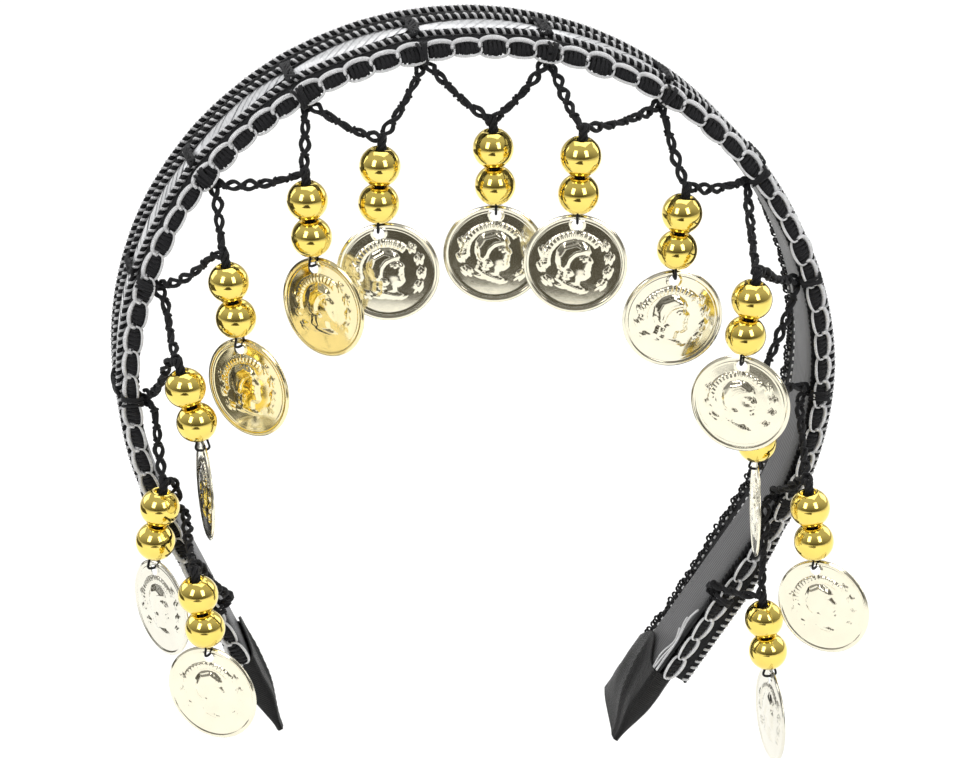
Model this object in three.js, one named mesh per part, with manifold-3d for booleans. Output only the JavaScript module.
// Coin headpiece: a satin-covered hair band with a galloon trim round its outer face, and a crocheted
// zigzag fringe along its front edge that carries thirteen pendants of two beads and a coin.
// Millimetres. +Z is up, -Y is the wearer's front, +X is to the right as seen from the front.
// The origin is the top of the band's inner face, where it rests on the crown of the head.
import * as THREE from "three";
import { mergeVertices } from "three/addons/utils/BufferGeometryUtils.js";
import Module from "manifold-3d";

const wasm = await Module();
wasm.setup();

// The band: an arc with two straight legs, measured on a line that runs just under its outer face. Its
// width runs back with a little slant towards -X.
const INNER_RADIUS = 67.5;
const LINE_RADIUS = 69;
const MIDDLE_TURN = THREE.MathUtils.degToRad(4.45);
const HALF_ARC = THREE.MathUtils.degToRad(118);
const TIP = 196.2;
const SLANT = 0.105;
const BAND_HALF_WIDTH = 6;
const BAND_HALF_THICKNESS = 0.8;
const SQUARENESS = 4;
const SECTION_POINTS = 12;

// Cloth and trim on the band.
const SEAM_GAP = 0.3;
const MOUTH_GAP = 0.45;
const LAY_GAP = 0.3;
const CLOTH = 1;
const TAPE_BACK = 16;
const TAPE_END_BACK = 11;
const TAPER_FROM = 125;
const TAPER_TO = 168;
const WRAP_LENGTH = 18.5;
const FLAT_LENGTH = 7;
const FLAT_HALF_THICKNESS = 0.6;
const OBLIQUE_CUT = 3.4;
const GIMP_RADIUS = 0.65;
const SEQUIN_THICKNESS = 0.5;
const SEQUIN_MIDDLE = 2.3;
const SEQUIN_WIDTH = 7;
const SEQUIN_NECK = 1.6;
const GIMP_FROM_MIDDLE = 5.9;
const GIMP_PINCH = 0.9;

// The chain of ovals on the front edge, and the crocheted fringe whose header lies behind it.
const OVAL_COUNT = 68;
const OVAL_WIDTH = 3.9;
const OVAL_NECK = 1.7;
const OVAL_THICKNESS = 1.4;
const OVAL_TILT = THREE.MathUtils.degToRad(25);
const OVAL_Y = -8.45;
const HEADER_Y = -6.8;
const HEADER_HEIGHT = -1;
const HEADER_SIZE = 1;
const STEM_WIDTH = 2.6;
const STEM_FOOT = -4;
const CHAIN_RADIUS = 0.9;
const CHAIN_STEPS = 5;
const CHAIN_SAG = 0.8;
const CHAIN_CLEARANCE = 1.9;
const GATHER_HEIGHT = 1.9;
const REPEAT = 24.7;
const STATIONS_A_REPEAT = 3;
const FIRST_KNOT = -164.45;

// A pendant: two beads on the fringe's thread, and a coin on the loop below them.
const BEAD_RADIUS = 4;
const BORE_RADIUS = 1.8;
const BEAD_SIDES = 10;
const BEAD_ARCS = 5;
const BEAD_GAP = 0.3;
const THREAD_RADIUS = 1.25;
const LOOP_HALF_WIDTH = 1.35;
const LOOP_RADIUS = 0.28;
const COIN_RADIUS = 10;
const COIN_FIELD = 0.45;
const COIN_RIM = 0.7;
const COIN_RIM_WIDTH = 0.9;
const COIN_SIDES = 18;
const COIN_HOLE_RADIUS = 1.1;
const COIN_HOLE_EDGE = 0.9;
const COIN_HINGE_DEPTH = 1.52;
const COIN_GAP = 0.5;

// One row for each pendant, from the wearer's right to left: the upper bead's centre, how far the beads
// lean towards +X, where the coin's face looks, and how far the coin leans in its own plane.
const PENDANTS = [
  { x: -56.2, y: -26.5, z: -103.2, lean: 8.5, yaw: -29, coinLean: 2 },
  { x: -63.5, y: -14, z: -89.6, lean: -9, yaw: -56, coinLean: 12 },
  { x: -57.2, y: -20.5, z: -61.7, lean: 15, yaw: -80, coinLean: 0 },
  { x: -48.2, y: -16.5, z: -41.7, lean: 9, yaw: -39, coinLean: 11 },
  { x: -32.7, y: -14.5, z: -26.2, lean: 5, yaw: -40, coinLean: 13 },
  { x: -18.7, y: -14.5, z: -19.7, lean: -2.5, yaw: -5, coinLean: 12 },
  { x: 3.3, y: -11, z: -17.7, lean: 3, yaw: -5, coinLean: -2 },
  { x: 19.3, y: -19.5, z: -17.2, lean: -2.5, yaw: -7, coinLean: -2 },
  { x: 39.8, y: -14.5, z: -30.7, lean: -6, yaw: 3, coinLean: -1 },
  { x: 52.3, y: -24.5, z: -45.2, lean: -7.5, yaw: -24, coinLean: -1 },
  { x: 55.5, y: -18, z: -70.5, lean: 0.5, yaw: -95, coinLean: 0 },
  { x: 65.6, y: -24.5, z: -89.6, lean: 8.5, yaw: -36, coinLean: 14 },
  { x: 59.3, y: -14, z: -119.2, lean: 8.5, yaw: -83, coinLean: 6 },
];

const TRIM_END = TIP - WRAP_LENGTH;
const LAID_END = TRIM_END - 0.5;
const BAND_END = TIP - FLAT_LENGTH - SEAM_GAP;
const BAND_LOW = INNER_RADIUS - LINE_RADIUS;
const MIDDLE_HEIGHT = BAND_LOW + BAND_HALF_THICKNESS;
const TAPE_LOW = MIDDLE_HEIGHT + BAND_HALF_THICKNESS + SEAM_GAP;
const TAPE_TOP = TAPE_LOW + CLOTH;
const BEAD_HALF_HEIGHT = Math.sqrt(BEAD_RADIUS ** 2 - BORE_RADIUS ** 2);
const BEAD_STEP = 2 * BEAD_HALF_HEIGHT + BEAD_GAP;
const SMALLEST_DETAIL = 0.06;
const STATION = REPEAT / STATIONS_A_REPEAT;

const BLACK_SATIN = new THREE.MeshStandardMaterial({ color: 0x17171a, roughness: 0.42 });
const BLACK_BRAID = new THREE.MeshStandardMaterial({ color: 0x101012, roughness: 0.85 });
const SILVER_CORD = new THREE.MeshStandardMaterial({ color: 0xb9bcc0, roughness: 0.35, metalness: 0.6 });
const SEQUIN = new THREE.MeshStandardMaterial({ color: 0xc9c9cc, roughness: 0.2, metalness: 0.4 });
const BEAD_GOLD = new THREE.MeshStandardMaterial({ color: 0xe3b51c, roughness: 0.12, metalness: 1 });
const COIN_GOLD = new THREE.MeshStandardMaterial({ color: 0xd9cda0, roughness: 0.2, metalness: 1 });

// A point of the object: `along` the band's line from its middle, `height` outwards from it, and depth y.
function bandPoint(along, height, y) {
  const onArc = THREE.MathUtils.clamp(along, -LINE_RADIUS * HALF_ARC, LINE_RADIUS * HALF_ARC);
  const angle = onArc / LINE_RADIUS + MIDDLE_TURN;
  const leg = along - onArc;
  const radius = LINE_RADIUS + height;
  const x = radius * Math.sin(angle) + leg * Math.cos(angle) - SLANT * y;
  const z = radius * Math.cos(angle) - leg * Math.sin(angle) - INNER_RADIUS;
  return new THREE.Vector3(x, y, z);
}

// How far back the tape reaches: it is drawn in narrower towards each wrap.
function tapeBack(along) {
  const into = THREE.MathUtils.clamp((Math.abs(along) - TAPER_FROM) / (TAPER_TO - TAPER_FROM), 0, 1);
  return THREE.MathUtils.lerp(TAPE_BACK, TAPE_END_BACK, into);
}

// Places along the band: its two ends, the fringe's knots between them, and even steps from knot to knot.
function stations(from, to) {
  const first = Math.ceil((from - FIRST_KNOT) / STATION + 0.3);
  const last = Math.floor((to - FIRST_KNOT) / STATION - 0.3);
  const between = Array.from({ length: last - first + 1 }, (_, i) => FIRST_KNOT + (first + i) * STATION);
  return [from, ...between, to];
}

// A closed body through rings with the same even number of points. Each end is closed straight across.
function loft(rings) {
  const size = rings[0].length;
  const index = [];
  const quad = (a, b, c, d) => index.push(a, b, c, a, c, d);
  for (let ring = 0; ring + 1 < rings.length; ring++) {
    for (let k = 0; k < size; k++) {
      const here = ring * size + k;
      const next = ring * size + ((k + 1) % size);
      quad(here, next, next + size, here + size);
    }
  }
  const last = (rings.length - 1) * size;
  for (let k = 0; k + 1 < size / 2; k++) {
    quad(size - 1 - k, size - 2 - k, k + 1, k);
    quad(last + k, last + k + 1, last + size - 2 - k, last + size - 1 - k);
  }
  const points = rings.flat();
  let volume = 0;
  for (let i = 0; i < index.length; i += 3) {
    const [a, b, c] = [0, 1, 2].map((k) => points[index[i + k]]);
    volume += a.dot(b.clone().cross(c));
  }
  if (volume < 0) index.reverse();
  const geometry = new THREE.BufferGeometry();
  const positions = points.flatMap((p) => [p.x, p.y, p.z]);
  geometry.setAttribute("position", new THREE.Float32BufferAttribute(positions, 3));
  geometry.setIndex(index);
  return geometry;
}

// A round cord with closed ends along a curve.
function cord(curve, radius, sides, steps) {
  const outline = Array.from({ length: sides }, (_, k) => {
    const angle = (2 * Math.PI * k) / sides;
    return new THREE.Vector2(radius * Math.cos(angle), radius * Math.sin(angle));
  });
  const section = new THREE.Shape(outline);
  return new THREE.ExtrudeGeometry(section, { extrudePath: curve, steps, bevelEnabled: false });
}

function toSolid(geometry) {
  const bare = geometry.clone();
  bare.deleteAttribute("normal");
  bare.deleteAttribute("uv");
  const merged = mergeVertices(bare, 1e-4);
  const vertProperties = new Float32Array(merged.attributes.position.array);
  const triVerts = new Uint32Array(merged.index.array);
  return new wasm.Manifold(new wasm.Mesh({ numProp: 3, vertProperties, triVerts }));
}

function fromSolid(solid) {
  const mesh = solid.getMesh();
  const geometry = new THREE.BufferGeometry();
  geometry.setAttribute("position", new THREE.Float32BufferAttribute(mesh.vertProperties, 3));
  geometry.setIndex(Array.from(mesh.triVerts));
  return geometry;
}

function named(name, geometry, material) {
  geometry.computeVertexNormals();
  const mesh = new THREE.Mesh(geometry, material);
  mesh.name = name;
  return mesh;
}

function squared(value) {
  return Math.sign(value) * Math.abs(value) ** (2 / SQUARENESS);
}

// The hard band in its satin cover: a flat section with round edges. Its ends stop inside the wraps.
function satinBand() {
  const ring = (along) =>
    Array.from({ length: SECTION_POINTS }, (_, k) => {
      const angle = (2 * Math.PI * k) / SECTION_POINTS;
      const height = MIDDLE_HEIGHT + BAND_HALF_THICKNESS * squared(Math.sin(angle));
      return bandPoint(along, height, BAND_HALF_WIDTH * squared(Math.cos(angle)));
    });
  return loft(stations(-BAND_END, BAND_END).map(ring));
}

// A ribbon wrap: a sleeve round the end of the band and of the tape on it. Past them the ribbon is folded
// flat, and it is cut off at a slant.
function endWrap(side) {
  const section = (along, offset) => {
    const edge = BAND_HALF_WIDTH + offset;
    const [front, back] = [-edge, tapeBack(along) + offset];
    const [low, step, top] = [BAND_LOW - offset, TAPE_LOW - offset, TAPE_TOP + offset];
    return [[front, low], [edge, low], [back, step], [back, top], [edge, top], [front, top]];
  };
  const ring = (along, offset) =>
    section(along, offset).map(([y, height]) => bandPoint(side * along, height, y));
  const cutRing = (offset) => {
    const corners = section(TIP, offset);
    const [front, back] = [corners[0][0], corners[2][0]];
    const middle = (BAND_LOW + TAPE_TOP) / 2;
    return corners.map(([y, height]) => {
      const flat = middle + FLAT_HALF_THICKNESS * Math.sign(height - middle);
      const cut = (OBLIQUE_CUT * (y - front)) / (back - front);
      return bandPoint(side * (TIP - cut), flat, y);
    });
  };
  const mouth = TRIM_END + MOUTH_GAP;
  const cavityEnd = BAND_END + SEAM_GAP;
  const inner = [ring(cavityEnd, SEAM_GAP), ring(mouth, SEAM_GAP)];
  const outer = [ring(mouth, SEAM_GAP + CLOTH), ring(cavityEnd, SEAM_GAP + CLOTH)];
  return loft([...inner, ...outer, cutRing(SEAM_GAP + CLOTH)]);
}

// The galloon's tape: a flat wall on the outer face, wider than the band, that runs on into both wraps.
function galloonTape() {
  const rings = stations(-BAND_END, BAND_END).map((along) => {
    const back = tapeBack(along);
    const front = -BAND_HALF_WIDTH;
    const corners = [[front, TAPE_LOW], [back, TAPE_LOW], [back, TAPE_TOP], [front, TAPE_TOP]];
    return corners.map(([y, height]) => bandPoint(along, height, y));
  });
  return loft(rings);
}

// How full the trim's pattern is, from 0 at each knot to 1 half-way to the next.
function fullness(along) {
  return Math.abs(Math.sin((Math.PI * (along - FIRST_KNOT)) / REPEAT));
}

// A round gimp cord laid lengthwise on the tape, drawn in a little at each knot.
function gimpCord(side) {
  const middle = TAPE_TOP + LAY_GAP + GIMP_RADIUS;
  const rings = stations(-LAID_END, LAID_END).map((along) => {
    const y = SEQUIN_MIDDLE + side * (GIMP_FROM_MIDDLE - GIMP_PINCH * (1 - fullness(along)));
    return Array.from({ length: 6 }, (_, k) => {
      const angle = (Math.PI * k) / 3;
      return bandPoint(along, middle + GIMP_RADIUS * Math.sin(angle), y + GIMP_RADIUS * Math.cos(angle));
    });
  });
  return loft(rings);
}

// The strip of sequins between the gimp cords: leaf after leaf, with a narrow neck at each knot.
function sequinStrip() {
  const low = TAPE_TOP + LAY_GAP;
  const top = low + SEQUIN_THICKNESS;
  const rings = stations(-LAID_END, LAID_END).map((along) => {
    const half = THREE.MathUtils.lerp(SEQUIN_NECK, SEQUIN_WIDTH, fullness(along) ** 0.6) / 2;
    const corners = [[-half, low], [half, low], [half, top], [-half, top]];
    return corners.map(([y, height]) => bandPoint(along, height, SEQUIN_MIDDLE + y));
  });
  return loft(rings);
}

// The chain of ovals on the front edge: its flat sides look to front and back, with the outer edge tilted back.
function ovalChain() {
  const step = (2 * TRIM_END) / OVAL_COUNT / 3;
  const [across, through] = [Math.cos(OVAL_TILT), Math.sin(OVAL_TILT)];
  const rings = [];
  for (let third = 0; third <= 3 * OVAL_COUNT; third++) {
    const neck = third % 3 === 0;
    const half = (neck ? OVAL_NECK : OVAL_WIDTH) / 2;
    const thick = ((neck ? 0.7 : 1) * OVAL_THICKNESS) / 2;
    const corners = [[half, -thick], [-half, -thick], [-half, thick], [half, thick]];
    const place = ([u, v]) =>
      bandPoint(third * step - TRIM_END, u * across - v * through, OVAL_Y + u * through + v * across);
    rings.push(corners.map(place));
  }
  return loft(rings);
}

const knotAt = (number) => FIRST_KNOT + number * REPEAT;

// The named places of a pendant, worked out from its row.
function pendantPlaces({ x, y, z, lean }) {
  const tilt = THREE.MathUtils.degToRad(lean);
  const down = new THREE.Vector3(Math.sin(tilt), 0, -Math.cos(tilt));
  const upper = new THREE.Vector3(x, y, z);
  const lower = upper.clone().addScaledVector(down, BEAD_STEP);
  const gather = upper.clone().addScaledVector(down, -BEAD_HALF_HEIGHT - GATHER_HEIGHT);
  const mouth = lower.clone().addScaledVector(down, BEAD_HALF_HEIGHT);
  const gap = COIN_GAP + BORE_RADIUS * Math.sin(Math.abs(tilt));
  const hinge = mouth.clone();
  hinge.z -= gap + COIN_HINGE_DEPTH;
  return { tilt, upper, lower, gather, mouth, hinge };
}

// The stem of a knot: it carries the two chains of a knot past the ovals' back.
function stem(knot) {
  const reach = 0.4 * HEADER_SIZE;
  const corners = [[-0.5, -1], [0.5, -1], [0.5, 1], [-0.5, 1]];
  const ring = (height) =>
    corners.map(([share, y]) => bandPoint(knot + share * STEM_WIDTH, height, HEADER_Y + reach * y));
  return loft([ring(HEADER_HEIGHT), ring(STEM_FOOT)]);
}

// One crocheted chain, from a stem's foot to where a pendant's chains gather, past the upper bead's shoulder.
// `side` is 1 where the pendant lies further along the band than the knot, and -1 where it doesn't.
function chain(knot, side, { gather, upper }) {
  const foot = bandPoint(knot + 0.7 * side, STEM_FOOT + 0.25, HEADER_Y - 0.15);
  const knee = bandPoint(knot + 1.9 * side, STEM_FOOT - 1.2, OVAL_Y - 0.8);
  const nearest = new THREE.Line3(knee, gather).closestPointToPoint(upper, true, new THREE.Vector3());
  const away = nearest.clone().sub(upper);
  away.setLength(Math.max(away.length(), BEAD_RADIUS + CHAIN_CLEARANCE));
  const shoulder = upper.clone().add(away);
  const direct = shoulder.distanceTo(gather) < 1.5;
  const middle = knee.clone().lerp(direct ? gather : shoulder, 0.5);
  middle.z -= CHAIN_SAG;
  const route = direct ? [foot, knee, middle, gather] : [foot, knee, middle, shoulder, gather];
  return cord(new THREE.CatmullRomCurve3(route, false, "centripetal"), CHAIN_RADIUS, 4, CHAIN_STEPS);
}

// The thread through the beads, and the loop that carries the coin.
function pendantThread(row) {
  const { gather, mouth, hinge } = pendantPlaces(row);
  const yaw = THREE.MathUtils.degToRad(row.yaw);
  const across = new THREE.Vector3(Math.sin(yaw), -Math.cos(yaw), 0);
  const drop = mouth.z - hinge.z;
  const beside = (share, sideways) => {
    const point = mouth.clone().addScaledVector(across, sideways * LOOP_HALF_WIDTH);
    point.z -= share * drop;
    return point;
  };
  const route = [
    beside(-0.6, 0.35),
    beside(0.3, 0.8),
    beside(0.8, 1),
    beside(1, 0.5),
    beside(1, -0.5),
    beside(0.8, -1),
    beside(0.3, -0.8),
    beside(-0.6, -0.35),
  ];
  const loop = cord(new THREE.CatmullRomCurve3(route, false, "centripetal"), LOOP_RADIUS, 4, 9);
  const core = mouth.clone().lerp(gather, 0.03);
  return [cord(new THREE.LineCurve3(gather, core), THREAD_RADIUS, 4, 1), loop];
}

// The whole fringe: its header along the front edge, two chains to each pendant, and the pendants' threads.
function crochetFringe() {
  const reach = HEADER_SIZE / 2;
  const corners = [[reach, -reach], [-reach, -reach], [-reach, reach], [reach, reach]];
  const header = stations(knotAt(0) - STEM_WIDTH, knotAt(PENDANTS.length) + STEM_WIDTH).map((along) =>
    corners.map(([height, y]) => bandPoint(along, HEADER_HEIGHT + height, HEADER_Y + y)),
  );
  const pieces = [loft(header), stem(knotAt(0))];
  PENDANTS.forEach((row, i) => {
    const places = pendantPlaces(row);
    pieces.push(stem(knotAt(i + 1)), chain(knotAt(i), 1, places), chain(knotAt(i + 1), -1, places));
    pieces.push(...pendantThread(row));
  });
  return fromSolid(wasm.Manifold.union(pieces.map(toSolid)).simplify(SMALLEST_DETAIL));
}

// A bead with a wide bore, turned about its own upright axis.
function beadGeometry() {
  const start = Math.asin(BORE_RADIUS / BEAD_RADIUS);
  const outline = Array.from({ length: BEAD_ARCS + 1 }, (_, i) => {
    const angle = THREE.MathUtils.lerp(start, Math.PI - start, i / BEAD_ARCS);
    return new THREE.Vector2(BEAD_RADIUS * Math.sin(angle), -BEAD_RADIUS * Math.cos(angle));
  });
  return new THREE.LatheGeometry([...outline, outline[0]], BEAD_SIDES).rotateX(Math.PI / 2);
}

// A coin with a raised rim and a thread hole, its centre at the origin and its faces looking along Y.
function coinGeometry() {
  const field = COIN_RADIUS - COIN_RIM_WIDTH;
  const outline = [
    new THREE.Vector2(0, -COIN_FIELD / 2),
    new THREE.Vector2(field, -COIN_FIELD / 2),
    new THREE.Vector2(field, -COIN_RIM / 2),
    new THREE.Vector2(COIN_RADIUS, -COIN_RIM / 2),
    new THREE.Vector2(COIN_RADIUS, COIN_RIM / 2),
    new THREE.Vector2(field, COIN_RIM / 2),
    new THREE.Vector2(field, COIN_FIELD / 2),
    new THREE.Vector2(0, COIN_FIELD / 2),
  ];
  const disc = toSolid(new THREE.LatheGeometry(outline, COIN_SIDES));
  const hole = new THREE.CylinderGeometry(COIN_HOLE_RADIUS, COIN_HOLE_RADIUS, 2 * COIN_RIM, 8);
  hole.translate(0, 0, COIN_RADIUS - COIN_HOLE_EDGE - COIN_HOLE_RADIUS);
  return fromSolid(disc.subtract(toSolid(hole)));
}

const headpiece = new THREE.Group();
headpiece.add(
  named("satin_band", satinBand(), BLACK_SATIN),
  named("end_wrap_left", endWrap(-1), BLACK_SATIN),
  named("end_wrap_right", endWrap(1), BLACK_SATIN),
  named("galloon_tape", galloonTape(), BLACK_BRAID),
  named("gimp_cord_front", gimpCord(-1), SILVER_CORD),
  named("gimp_cord_back", gimpCord(1), SILVER_CORD),
  named("sequin_strip", sequinStrip(), SEQUIN),
  named("oval_chain", ovalChain(), BLACK_BRAID),
  named("crochet_fringe", crochetFringe(), BLACK_BRAID),
);

PENDANTS.forEach((row, i) => {
  const number = String(i + 1).padStart(2, "0");
  const { tilt, upper, lower, hinge } = pendantPlaces(row);
  for (const [place, centre] of [["upper", upper], ["lower", lower]]) {
    const bead = named(`bead_${place}_${number}`, beadGeometry(), BEAD_GOLD);
    bead.position.copy(centre);
    bead.rotation.y = -tilt;
    headpiece.add(bead);
  }
  const swing = new THREE.Group();
  swing.position.copy(hinge);
  swing.rotation.z = THREE.MathUtils.degToRad(row.yaw);
  const hang = new THREE.Group();
  hang.rotation.y = -THREE.MathUtils.degToRad(row.coinLean);
  const coin = named(`coin_${number}`, coinGeometry(), COIN_GOLD);
  coin.position.z = COIN_HINGE_DEPTH - COIN_RADIUS;
  hang.add(coin);
  swing.add(hang);
  headpiece.add(swing);
});

export default headpiece;
